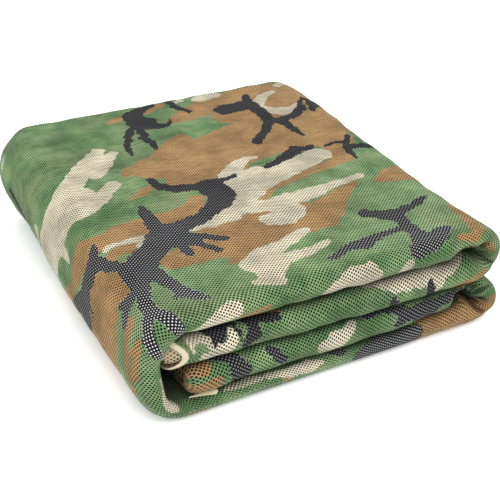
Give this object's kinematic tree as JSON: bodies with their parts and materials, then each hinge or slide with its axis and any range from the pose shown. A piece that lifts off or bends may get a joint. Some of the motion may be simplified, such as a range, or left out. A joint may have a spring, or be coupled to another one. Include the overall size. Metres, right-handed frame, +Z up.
{
  "type": "folded camouflage net",
  "caption": "Camouflage net of printed mesh cloth, folded into a flat block of stacked panels with one wrap round its left side.",
  "frame": {"origin": "on the ground under the middle of the folded block's bounding box", "axes": "+X to the right along the front, from the wrapped left side to the two turned folds, +Y from the front with its long creases to the back, +Z up through the stacked panels"},
  "size_m": [0.352, 0.3766, 0.104],
  "materials": {
    "net": "matt printed polyester mesh in green, brown, sand and black"
  },
  "bodies": {
    "root": {"net": "net"}
  },
  "joints": []
}
